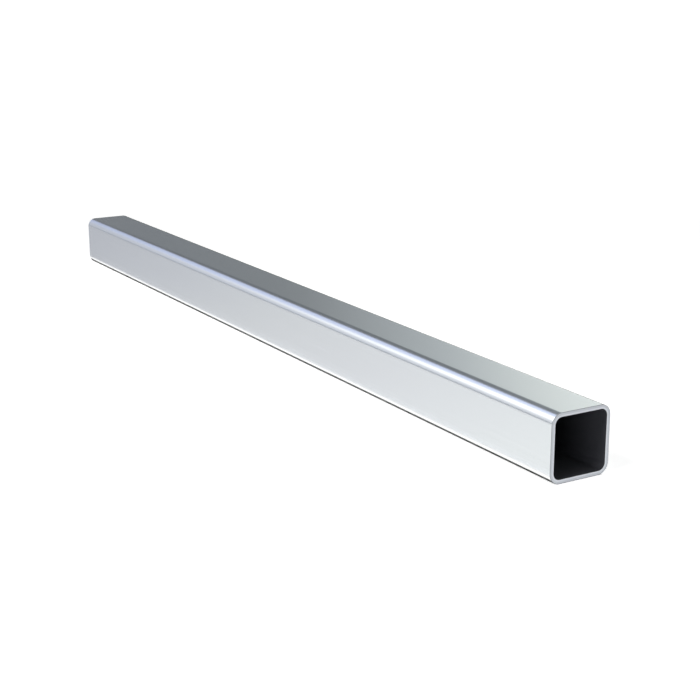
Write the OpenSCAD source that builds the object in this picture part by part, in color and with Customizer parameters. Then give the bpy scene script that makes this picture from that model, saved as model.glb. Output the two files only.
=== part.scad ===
// Square extension tube: one length of square hollow section with rounded
// corners, cut square at both ends. It lies along X on its flat underside,
// with the origin at the middle of that underside.

/* [Section] */
// Width and height of the square section, over the outside
side = 30; // [20:0.5:60]
// Thickness of the wall
wall = 2; // [1:0.1:3]
// Outside radius of the four long corners
corner_radius = 5; // [4:0.1:9]

/* [Length] */
// Length of the tube from cut end to cut end
tube_length = 500; // [100:1:3000]

/* [Cut ends] */
// Width of the small bevel that deburring leaves on both edges of a cut end
edge_break = 0.2; // [0.1:0.05:0.4]

/* [Hidden] */
$fn = 64;
// Bore of the tube, whose wall is as thick round the corners as on the flats
bore_side = side - 2 * wall;
bore_radius = corner_radius - wall;
// How far the cutter for the bore runs past each cut end
overrun = 1;

// Outline of a long bar seen from its side, where each end changes its
// half-height by `flare` over the last `flare` of its length: a positive
// flare opens the ends out and a negative one bevels them. Past the flare
// the outline runs on straight for `extra`.
module bar_outline(length, half, flare, extra)
{
    depth = abs(flare);
    shoulder = length / 2 - depth;
    reach = length / 2 + extra;
    right = [
        [shoulder, half],
        [length / 2, half + flare],
        [reach, half + flare],
        [reach, -half - flare],
        [length / 2, -half - flare],
        [shoulder, -half]
    ];
    left = [for (i = [len(right) - 1 : -1 : 0]) [-right[i][0], right[i][1]]];
    polygon(concat(right, left));
}

// Half of that outline above the axis, turned into a round post along X.
module corner_post(length, radius, flare, extra)
{
    depth = abs(flare);
    shoulder = length / 2 - depth;
    reach = length / 2 + extra;
    rotate([0, 90, 0])
        rotate_extrude()
            polygon([
                [0, -reach],
                [radius + flare, -reach],
                [radius + flare, -length / 2],
                [radius, -shoulder],
                [radius, shoulder],
                [radius + flare, length / 2],
                [radius + flare, reach],
                [0, reach]
            ]);
}

// Square bar along X with rounded corners, centred on the axis.
module rounded_bar(length, across, radius, flare, extra = 0)
{
    core = across - 2 * radius;
    for (turn = [0, 90])
        rotate([90 + turn, 0, 0])
            linear_extrude(height = core, center = true)
                bar_outline(length, across / 2, flare, extra);
    for (y = [-1, 1], z = [-1, 1])
        translate([0, y * core / 2, z * core / 2])
            corner_post(length, radius, flare, extra);
}

module tube()
{
    color("silver")
        translate([0, 0, side / 2])
            difference()
            {
                rounded_bar(tube_length, side, corner_radius, -edge_break);
                rounded_bar(tube_length, bore_side, bore_radius, edge_break, overrun);
            }
}

tube();
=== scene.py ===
"""A square extension tube of satin steel, lying on a white floor in a plain bright studio.

Everything is in metres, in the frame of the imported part: X runs along the
tube towards the end that the camera sees, and the floor is at Z = 0.
"""

import math

import bmesh
import bpy
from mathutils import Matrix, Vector


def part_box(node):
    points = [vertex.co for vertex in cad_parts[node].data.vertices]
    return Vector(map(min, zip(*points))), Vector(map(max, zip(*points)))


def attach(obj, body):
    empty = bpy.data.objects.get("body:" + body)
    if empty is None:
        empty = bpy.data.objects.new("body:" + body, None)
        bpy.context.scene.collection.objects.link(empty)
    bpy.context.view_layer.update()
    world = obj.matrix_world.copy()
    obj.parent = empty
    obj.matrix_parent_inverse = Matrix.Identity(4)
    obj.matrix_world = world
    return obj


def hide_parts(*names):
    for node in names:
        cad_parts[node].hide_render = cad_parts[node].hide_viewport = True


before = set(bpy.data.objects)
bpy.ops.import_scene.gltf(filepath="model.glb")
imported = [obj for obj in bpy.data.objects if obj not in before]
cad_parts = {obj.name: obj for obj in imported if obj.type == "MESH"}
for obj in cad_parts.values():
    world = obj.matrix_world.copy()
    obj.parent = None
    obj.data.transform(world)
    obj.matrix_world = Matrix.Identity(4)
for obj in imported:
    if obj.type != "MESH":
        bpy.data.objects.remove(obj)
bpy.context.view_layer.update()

# The outside of the tube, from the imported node
tube_low, tube_high = (Vector(corner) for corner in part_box("tube"))
CENTRE = (tube_low + tube_high) / 2
HALF_LENGTH = (tube_high.x - tube_low.x) / 2
HALF_SIDE = (tube_high.y - tube_low.y) / 2

# The rest of its shape, and how finely it is meshed
WALL = 0.002
CORNER_RADIUS = 0.005
EDGE_BREAK = 0.0002
CORNER_STEPS = 16
FLAT_STEPS = 4
EDGE_STEPS = 3
BAYS = 20

# The places of its materials in its list
SATIN, SAWN, BORE, BROKEN, MOUTH = range(5)

# The cut ends: the slant of the saw lines in degrees, the depths under the
# outside where a painted highlight starts to lighten the metal and where it is full,
# and how much of their colours the outer and the inner edge keep, which paints shade on both edges
SAW_SLANT = 28
PAINTED_HIGHLIGHT_STARTS = 0.0009
PAINTED_HIGHLIGHT_FULL = 0.0015
BROKEN_SHADE = 0.4
MOUTH_SHADE = 0.12

# The camera, as fitted to the edges in the photograph
CAMERA_PLACE = (0.66836, -0.35729, 0.20375)
CAMERA_AZIMUTH = -30.887
CAMERA_ELEVATION = 15.433
LENS_MM = 73.951
SENSOR_MM = 36.0
CLIP_START = 0.01
CLIP_END = 100.0

# The studio
FLOOR_SIZE = 30.0
FLOOR_WHITE = 0.8
# The floor's glow is FLOOR_GLOW round the tube, which paints a faint shade there, and a painted contact
# shadow reaches CONTACT_WIDTH from where they touch
FLOOR_GLOW = 0.80
GLOW_RISE = (0.45, 0.90)
CONTACT_WIDTH = 0.0006
CONTACT_SAMPLES = 16
WORLD_LIGHT = 0.15
CARD_DISTANCE = 6.0
CARD_BAY = 8.0
LAID_HEIGHT = 0.00005
FOOT_TINT = (1.0, 0.97, 0.92)
FOOT_ENDS = (-0.29, HALF_LENGTH)


def direction(azimuth, elevation):
    """The unit vector at an azimuth, in degrees from +X towards +Y, and an elevation."""
    a = math.radians(azimuth)
    e = math.radians(elevation)
    return Vector((math.cos(a) * math.cos(e), math.sin(a) * math.cos(e), math.sin(e)))


def facing_back(azimuth, elevation):
    """The turn of a lamp or camera that looks back from a direction."""
    return (-direction(azimuth, elevation)).to_track_quat("-Z", "Y").to_euler()


def add_object(name, data):
    """A new object in the scene."""
    thing = bpy.data.objects.new(name, data)
    bpy.context.scene.collection.objects.link(thing)
    return thing


# The mesh of the tube

def section(half, radius):
    """Points and outward normals round a square with rounded corners, as (y, z) pairs."""
    points = []
    straight = half - radius
    for quarter in range(4):
        start = quarter * math.pi / 2
        middle = start + math.pi / 4
        centre_y = math.copysign(straight, math.cos(middle))
        centre_z = math.copysign(straight, math.sin(middle))
        for step in range(CORNER_STEPS + 1):
            a = start + math.pi / 2 * step / CORNER_STEPS
            normal = (math.cos(a), math.sin(a))
            points.append(((centre_y + radius * normal[0], centre_z + radius * normal[1]), normal))
        along = (-math.sin(start + math.pi / 2), math.cos(start + math.pi / 2))
        (y, z), normal = points[-1]
        for step in range(1, FLAT_STEPS):
            run = 2 * straight * step / FLAT_STEPS
            points.append(((y + along[0] * run, z + along[1] * run), normal))
    return points


def edge_skin(inside, step):
    """The material from a step of an edge break to the next one towards the cut."""
    if inside:
        return MOUTH
    return BROKEN if step > 0 else SATIN


def edge_station(end, step, inside, skin):
    """The station at one step of an edge break, at the cut end on the side of X that end says."""
    turn = math.pi / 2 * step / EDGE_STEPS
    x = end * (HALF_LENGTH - EDGE_BREAK + EDGE_BREAK * math.sin(turn))
    return [x, EDGE_BREAK * (1 - math.cos(turn)), end * turn, inside, skin]


def wall_stations():
    """The way round the wall of the tube, cut lengthwise, as (x, depth, turn, inside, material).

    depth is how far the edge break has eaten into the section, turn is the
    angle that the surface has turned from the long side towards the cut end,
    and material is that of the faces which run to the next station.
    """
    shoulder = HALF_LENGTH - EDGE_BREAK
    stations = []
    for inside in (False, True):
        end = -1 if inside else 1
        for bay in range(BAYS + 1):
            x = -end * shoulder + end * 2 * shoulder * bay / BAYS
            stations.append([x, 0.0, 0.0, inside, BORE if inside else SATIN])
        stations[-1][4] = edge_skin(inside, 0)
        for step in range(1, EDGE_STEPS + 1):
            stations.append(edge_station(end, step, inside, edge_skin(inside, step)))
        stations[-1][4] = SAWN
        for step in range(EDGE_STEPS, 0, -1):
            stations.append(edge_station(end, step, not inside, edge_skin(not inside, step - 1)))
    return stations


def tube_mesh(name):
    """One closed mesh of quads, whose normals are those of the true surface."""
    bm = bmesh.new()
    rings = []
    normals = []
    stations = wall_stations()
    for x, depth, turn, inside, _ in stations:
        if inside:
            outline = section(HALF_SIDE - WALL + depth, CORNER_RADIUS - WALL + depth)
        else:
            outline = section(HALF_SIDE - depth, CORNER_RADIUS - depth)
        facing = -1 if inside else 1
        across = facing * math.cos(turn)
        ring = []
        for (y, z), (ny, nz) in outline:
            ring.append(bm.verts.new(CENTRE + Vector((x, y, z))))
            normals.append((math.sin(turn), across * ny, across * nz))
        rings.append(ring)
    for index, ring in enumerate(rings):
        following = rings[(index + 1) % len(rings)]
        for k in range(len(ring)):
            after = (k + 1) % len(ring)
            face = bm.faces.new((ring[k], ring[after], following[after], following[k]))
            face.smooth = True
            face.material_index = stations[index][4]
    mesh = bpy.data.meshes.new(name)
    bm.to_mesh(mesh)
    bm.free()
    mesh.normals_split_custom_set_from_vertices(normals)
    return mesh


# What the materials are made of

def new_material(name):
    """(material, its tree, its Principled node)."""
    material = bpy.data.materials.new(name)
    material.use_nodes = True
    tree = material.node_tree
    return material, tree, tree.nodes["Principled BSDF"]


def stretched_noise(tree, scale, detail=3.0, roughness=0.5, slant=0.0):
    """A noise along X: scale is its cycles per metre along X, Y and Z, slant its degrees round X."""
    place = tree.nodes.new("ShaderNodeTexCoord")
    mapping = tree.nodes.new("ShaderNodeMapping")
    mapping.inputs["Rotation"].default_value = (math.radians(slant), 0.0, 0.0)
    mapping.inputs["Scale"].default_value = scale
    noise = tree.nodes.new("ShaderNodeTexNoise")
    noise.inputs["Scale"].default_value = 1.0
    noise.inputs["Detail"].default_value = detail
    noise.inputs["Roughness"].default_value = roughness
    tree.links.new(place.outputs["Object"], mapping.inputs["Vector"])
    tree.links.new(mapping.outputs["Vector"], noise.inputs["Vector"])
    return noise.outputs["Fac"]


def between(tree, factor, low, high, start=0.3, stop=0.7):
    """A number that goes from low to high as factor goes from start to stop.

    The default start and stop are the span where most of a noise lies.
    """
    node = tree.nodes.new("ShaderNodeMapRange")
    node.inputs["From Min"].default_value = start
    node.inputs["From Max"].default_value = stop
    node.inputs["To Min"].default_value = low
    node.inputs["To Max"].default_value = high
    tree.links.new(factor, node.inputs["Value"])
    return node.outputs["Result"]


def joined(tree, operation, first, second):
    """The number that a Math node makes of two others."""
    node = tree.nodes.new("ShaderNodeMath")
    node.operation = operation
    tree.links.new(first, node.inputs[0])
    tree.links.new(second, node.inputs[1])
    return node.outputs["Value"]


def mixed_colour(tree, factor, first, second):
    """A colour from first, where factor is 0, to second, where it is 1."""
    node = tree.nodes.new("ShaderNodeMix")
    node.data_type = "RGBA"
    colours = [s for s in node.inputs if s.type == "RGBA"]
    for socket, value in zip(colours, (first, second)):
        if isinstance(value, tuple):
            socket.default_value = (*value, 1.0)
        else:
            tree.links.new(value, socket)
    tree.links.new(factor, node.inputs["Factor"])
    return next(s for s in node.outputs if s.type == "RGBA")


def bumped(tree, heights):
    """A normal from (height, strength, distance) bumps, one on another."""
    normal = None
    for height, strength, distance in heights:
        node = tree.nodes.new("ShaderNodeBump")
        node.inputs["Strength"].default_value = strength
        node.inputs["Distance"].default_value = distance
        tree.links.new(height, node.inputs["Height"])
        if normal is not None:
            tree.links.new(normal, node.inputs["Normal"])
        normal = node.outputs["Normal"]
    return normal


def core_distance(tree):
    """How far a place is from the square core that the rounded corners turn round, in its own section."""
    core = HALF_SIDE - CORNER_RADIUS
    steps = (
        ("SUBTRACT", (0.0, 0.0, CENTRE.z)),
        ("ABSOLUTE", None),
        ("SUBTRACT", (HALF_LENGTH, core, core)),
        ("MAXIMUM", (0.0, 0.0, 0.0)),
        ("LENGTH", None),
    )
    value = tree.nodes.new("ShaderNodeTexCoord").outputs["Object"]
    for operation, operand in steps:
        node = tree.nodes.new("ShaderNodeVectorMath")
        node.operation = operation
        tree.links.new(value, node.inputs[0])
        if operand is not None:
            node.inputs[1].default_value = operand
        value = node.outputs["Value" if operation == "LENGTH" else "Vector"]
    return value


def seen_directly(tree):
    """1 for rays from the camera, a mirror or glass, and 0 for all others."""
    path = tree.nodes.new("ShaderNodeLightPath")
    seen = path.outputs["Is Camera Ray"]
    for name in ("Is Glossy Ray", "Is Transmission Ray"):
        seen = joined(tree, "MAXIMUM", seen, path.outputs[name])
    return seen


def shaded(shade, *colours):
    """The colours, each times shade."""
    return [tuple(shade * part for part in colour) for colour in colours]


# The materials of the tube

def satin_steel():
    """Drawn tube with a satin finish: fine lines along X and a faint cloudiness."""
    material, tree, shader = new_material("satin_steel")
    clouds = stretched_noise(tree, (6.0, 40.0, 40.0), detail=2.0)
    streaks = stretched_noise(tree, (5.0, 900.0, 900.0), roughness=0.6)
    grain = stretched_noise(tree, (40.0, 4200.0, 4200.0), detail=2.0)
    dull, bright, lined = (0.578, 0.604, 0.629), (0.586, 0.611, 0.634), (0.572, 0.597, 0.620)
    cloudy = mixed_colour(tree, between(tree, clouds, 0.0, 1.0), dull, bright)
    colour = mixed_colour(tree, between(tree, streaks, 0.0, 1.0), cloudy, lined)
    tree.links.new(colour, shader.inputs["Base Color"])
    tree.links.new(between(tree, grain, 0.220, 0.250), shader.inputs["Roughness"])
    normal = bumped(tree, [(streaks, 0.5, 0.000002), (grain, 0.5, 0.0000015)])
    tree.links.new(normal, shader.inputs["Normal"])
    shader.inputs["Metallic"].default_value = 1.0
    shader.inputs["Specular Tint"].default_value = (0.45, 0.45, 0.47, 1.0)
    return material


def sawn_steel(name="sawn_steel", shade=1.0):
    """The cut ends: grey with fine slanting saw lines, and a painted highlight towards the bore."""
    material, tree, shader = new_material(name)
    lines = stretched_noise(tree, (40.0, 3200.0, 90.0), slant=SAW_SLANT)
    fleck = stretched_noise(tree, (700.0, 700.0, 700.0))
    dark, light, dull, painted_highlight = shaded(
        shade, (0.408, 0.426, 0.459), (0.445, 0.466, 0.499), (0.422, 0.443, 0.476), (0.540, 0.563, 0.600)
    )
    lined = mixed_colour(tree, between(tree, lines, 0.0, 1.0), dark, light)
    even = mixed_colour(tree, between(tree, fleck, 0.0, 0.4), lined, dull)
    # A painted highlight: the colour lightens towards the bore, between these two distances from the core
    bright_side = CORNER_RADIUS - PAINTED_HIGHLIGHT_FULL
    plain_side = CORNER_RADIUS - PAINTED_HIGHLIGHT_STARTS
    highlight_share = between(tree, core_distance(tree), 1.0, 0.0, bright_side, plain_side)
    tree.links.new(mixed_colour(tree, highlight_share, even, painted_highlight), shader.inputs["Base Color"])
    tree.links.new(between(tree, lines, 0.42, 0.52), shader.inputs["Roughness"])
    tree.links.new(bumped(tree, [(lines, 0.15, 0.00002)]), shader.inputs["Normal"])
    shader.inputs["Metallic"].default_value = 1.0
    return material


def painted_shade_outer_edge():
    """The outer edge of a cut end: a darker copy of the sawn steel, which paints shade on it."""
    return sawn_steel("painted_shade_outer_edge", BROKEN_SHADE)


def painted_dark_bore(name="scale_and_painted_shade", shade=1.0):
    """The inside: a dark scale colour, painted darker still so that it carries the shade inside the bore,
    which takes most of the light that gets in.
    """
    material, tree, shader = new_material(name)
    blotches = stretched_noise(tree, (30.0, 160.0, 160.0), detail=4.0, roughness=0.6)
    scale = stretched_noise(tree, (500.0, 1500.0, 1500.0))
    deep, pale, dusty = shaded(
        shade, (0.042, 0.043, 0.052), (0.052, 0.053, 0.063), (0.060, 0.061, 0.069)
    )
    blotched = mixed_colour(tree, between(tree, blotches, 0.0, 1.0), deep, pale)
    colour = mixed_colour(tree, between(tree, scale, 0.0, 0.4), blotched, dusty)
    tree.links.new(colour, shader.inputs["Base Color"])
    tree.links.new(between(tree, blotches, 0.50, 0.62), shader.inputs["Roughness"])
    tree.links.new(bumped(tree, [(scale, 0.2, 0.00005)]), shader.inputs["Normal"])
    shader.inputs["Metallic"].default_value = 0.0
    return material


def painted_shade_mouth():
    """The inner edge of a cut end: a far darker copy of the bore's colours, which paints shade on it."""
    return painted_dark_bore("painted_shade_mouth", MOUTH_SHADE)


# The studio

def make_camera():
    """The photograph's camera."""
    data = bpy.data.cameras.new("camera")
    data.lens = LENS_MM
    data.sensor_width = SENSOR_MM
    data.clip_start = CLIP_START
    data.clip_end = CLIP_END
    camera = add_object("camera", data)
    camera.location = CAMERA_PLACE
    camera.rotation_euler = facing_back(CAMERA_AZIMUTH, CAMERA_ELEVATION)
    bpy.context.scene.camera = camera


def make_world():
    """White for what looks at it, and a low plain light otherwise."""
    world = bpy.data.worlds.new("studio")
    bpy.context.scene.world = world
    world.use_nodes = True
    tree = world.node_tree
    background = tree.nodes["Background"]
    background.inputs["Color"].default_value = (1.0, 1.0, 1.0, 1.0)
    strength = between(tree, seen_directly(tree), WORLD_LIGHT, 1.0, 0.0, 1.0)
    tree.links.new(strength, background.inputs["Strength"])


def floor_material():
    """White, with a glow for what looks at it, which the lamps make up to full white round the tube.

    The glow is lower round the tube, which paints a faint shade there, and rises to full white
    further out; an occlusion paints a contact shadow where the tube and the floor touch.
    """
    material, tree, shader = new_material("white_floor")
    shader.inputs["Base Color"].default_value = (FLOOR_WHITE, FLOOR_WHITE, FLOOR_WHITE, 1.0)
    shader.inputs["Roughness"].default_value = 1.0
    shader.inputs["Specular IOR Level"].default_value = 0.0
    shader.inputs["Emission Color"].default_value = (1.0, 1.0, 1.0, 1.0)
    painted_contact_shadow = tree.nodes.new("ShaderNodeAmbientOcclusion")
    painted_contact_shadow.samples = CONTACT_SAMPLES
    painted_contact_shadow.inputs["Distance"].default_value = CONTACT_WIDTH
    reach = tree.nodes.new("ShaderNodeVectorMath")
    reach.operation = "LENGTH"
    place = tree.nodes.new("ShaderNodeTexCoord")
    tree.links.new(place.outputs["Object"], reach.inputs[0])
    glow = between(tree, reach.outputs["Value"], FLOOR_GLOW, 1.0, *GLOW_RISE)
    for factor in (seen_directly(tree), painted_contact_shadow.outputs["AO"]):
        glow = joined(tree, "MULTIPLY", glow, factor)
    tree.links.new(glow, shader.inputs["Emission Strength"])
    return material


def make_floor():
    """A wide square that keeps the shadow of the tube."""
    half = FLOOR_SIZE / 2
    corners = [(-half, -half, 0), (half, -half, 0), (half, half, 0), (-half, half, 0)]
    mesh = bpy.data.meshes.new("floor")
    mesh.from_pydata(corners, [], [(0, 1, 2, 3)])
    mesh.materials.append(floor_material())
    add_object("floor", mesh)


def softbox(name, azimuth, elevation, distance, size, radiance, colour, aim):
    """A flat lamp, size wide and high, that faces aim. radiance is its front's brightness, 1 for white."""
    width, height = size
    lamp = bpy.data.lights.new(name, "AREA")
    lamp.shape = "RECTANGLE"
    lamp.size = width
    lamp.size_y = height
    lamp.energy = radiance * math.pi * width * height
    lamp.color = colour
    thing = add_object(name, lamp)
    thing.location = Vector(aim) + direction(azimuth, elevation) * distance
    thing.rotation_euler = facing_back(azimuth, elevation)
    thing.visible_camera = False


def glowing(name):
    """A material that glows in the colours of its mesh."""
    material = bpy.data.materials.new(name)
    material.use_nodes = True
    tree = material.node_tree
    tree.nodes.clear()
    read = tree.nodes.new("ShaderNodeAttribute")
    read.attribute_name = "glow"
    glow = tree.nodes.new("ShaderNodeEmission")
    output = tree.nodes.new("ShaderNodeOutputMaterial")
    tree.links.new(read.outputs["Color"], glow.inputs["Color"])
    tree.links.new(glow.outputs["Emission"], output.inputs["Surface"])
    return material


def panel(name, rows):
    """A glowing panel over rows of (point, colour), which only reflections see."""
    columns = len(rows[0])
    faces = []
    for r in range(len(rows) - 1):
        for c in range(columns - 1):
            k = r * columns + c
            faces.append((k, k + 1, k + columns + 1, k + columns))
    flat = [spot for row in rows for spot in row]
    mesh = bpy.data.meshes.new(name)
    mesh.from_pydata([point for point, _ in flat], [], faces)
    colours = mesh.color_attributes.new("glow", "FLOAT_COLOR", "POINT")
    for index, (_, colour) in enumerate(flat):
        colours.data[index].color = (*colour, 1.0)
    mesh.materials.append(glowing(name))
    thing = add_object(name, mesh)
    thing.visible_camera = False
    thing.visible_diffuse = False
    thing.visible_shadow = False


def grey(level):
    """A colour with no tint."""
    return (level, level, level)


def filled(stops):
    """The (degrees, colour) stops with more between them, no more than CARD_BAY apart."""
    places = [(stops[0][0], Vector(stops[0][1]))]
    for (start, first), (stop, last) in zip(stops, stops[1:]):
        count = math.ceil((stop - start) / CARD_BAY)
        for k in range(1, count + 1):
            share = k / count
            places.append((start + (stop - start) * share, Vector(first).lerp(Vector(last), share)))
    return places


def far_card(name, around, upward):
    """A curved card far round the tube.

    around lists (azimuth, colour) and upward lists (elevation, colour). What
    the card shows at a place is the product of the two.
    """
    rows = []
    for elevation, shade in filled(upward):
        row = []
        for azimuth, colour in filled(around):
            row.append((direction(azimuth, elevation) * CARD_DISTANCE, colour * shade))
        rows.append(row)
    panel(name, rows)


def low_strip(name, start, stop, height, first, last):
    """A strip that stands on the floor, from the colour first at start to last at stop."""
    rows = [[(Vector((*start, z)), first), (Vector((*stop, z)), last)] for z in (0.0, height)]
    panel(name, rows)


def laid_card(name, along, across):
    """A card that lies on the floor: along lists (x, colour), and across its y from front to back."""
    rows = [[(Vector((x, y, LAID_HEIGHT)), colour) for x, colour in along] for y in across]
    panel(name, rows)


def foot_strip(name, stops):
    """A strip that lies on the floor along the front of the tube.

    Each stop is (y and brightness at the far end, y and brightness at the near end).
    """
    rows = []
    for places in stops:
        row = []
        for x, (y, level) in zip(FOOT_ENDS, places):
            row.append((Vector((x, y, LAID_HEIGHT)), Vector(FOOT_TINT) * level))
        rows.append(row)
    panel(name, rows)


make_camera()
make_world()
make_floor()

# The lamps: one above the front, and a low one that reaches into the mouth
softbox("key", -95, 48, 0.70, (0.35, 0.35), 9.0, (1.0, 0.996, 0.985), (0.27, -0.05, 0.0))
softbox("mouth_fill", -58, 4, 1.20, (0.60, 0.12), 12.0, (0.94, 0.97, 1.0), (0.25, 0.0, 0.015))

# Cards far round the tube, which the top and the upper corners reflect
far_card(
    "softbox_front",
    ((-161, grey(1.05)), (-156, grey(1.62)), (-149, grey(2.1)), (-100, grey(2.1))),
    ((14, grey(0.58)), (20, grey(0.83)), (25, grey(1.0)), (30, grey(1.08)), (70, grey(1.08))),
)
far_card(
    "back_cards",
    (
        (62, (2.10, 2.14, 1.94)),
        (136, (2.10, 2.14, 1.94)),
        (144, (0.97, 1.02, 0.985)),
        (151, (0.445, 0.47, 0.462)),
        (158, (0.395, 0.418, 0.425)),
        (172, (0.48, 0.48, 0.47)),
        (178.5, (0.62, 0.64, 0.70)),
    ),
    (
        (0.5, grey(0.30)),
        (4.5, grey(0.60)),
        (8, (1.75, 1.75, 1.74)),
        (13, grey(1.68)),
        (18, (0.94, 0.95, 0.97)),
        (22, (0.70, 0.71, 0.73)),
        (50, (0.57, 0.59, 0.63)),
    ),
)
far_card(
    "left_blue",
    ((178.5, (0.98, 1.07, 1.40)), (202, (0.98, 1.07, 1.40))),
    ((16, (0.97, 0.95, 0.90)), (20, grey(1.0)), (50, grey(1.12))),
)
far_card(
    "left_low",
    (
        (178.5, (0.98, 1.07, 1.18)),
        (188, (0.98, 1.07, 1.18)),
        (195, (0.98, 1.07, 1.42)),
        (202, (0.98, 1.07, 1.42)),
    ),
    ((4, (0.90, 0.84, 0.68)), (14, (0.96, 0.93, 0.86)), (16, (0.97, 0.95, 0.90))),
)
far_card(
    "front_low",
    ((-160, (1.06, 1.08, 1.18)), (-150, (1.06, 1.08, 1.16)), (-136, (1.18, 1.22, 1.28))),
    ((1.5, grey(1.0)), (14, grey(1.0))),
)

# Strips that stand on the floor, and cards that lie on it
low_strip("strip_front", (-0.60, -0.105), (0.09, -0.210), 0.034, (0.86, 0.89, 0.97), (0.33, 0.36, 0.40))
low_strip("strip_back", (-0.95, 0.20), (0.30, 0.20), 0.060, (0.10, 0.11, 0.11), (0.10, 0.11, 0.11))
laid_card(
    "floor_card",
    (
        (-0.55, (1.03, 1.03, 1.08)),
        (-0.31, (1.09, 1.09, 1.125)),
        (-0.18, (1.125, 1.125, 1.15)),
        (-0.05, (1.215, 1.21, 1.205)),
        (0.08, (1.29, 1.28, 1.28)),
        (0.21, (1.40, 1.405, 1.375)),
        (0.26, (1.44, 1.445, 1.41)),
    ),
    (-0.10, -0.0235),
)
# A strip on the floor that glows along the front of the tube, with a black band under the lower corner
# that paints the shade of the contact for the corner to reflect
foot_strip(
    "strip_foot",
    (
        ((-0.0190, 1.05), (-0.0192, 1.45)),
        ((-0.0177, 3.30), (-0.0177, 1.80)),
        ((-0.0155, 3.30), (-0.0145, 2.50)),
        ((-0.0151, 0.00), (-0.0142, 0.00)),
        ((-0.0123, 0.00), (-0.0118, 0.00)),
        ((-0.0122, 3.00), (-0.0117, 2.80)),
        ((-0.0110, 3.00), (-0.0110, 2.80)),
    ),
)

# The tube, with its materials in the order of their places
tube = add_object("square_tube", tube_mesh("square_tube"))
for make in (satin_steel, sawn_steel, painted_dark_bore, painted_shade_outer_edge, painted_shade_mouth):
    tube.data.materials.append(make())
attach(tube, "root")
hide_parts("tube")

bpy.context.scene.view_settings.view_transform = "Standard"
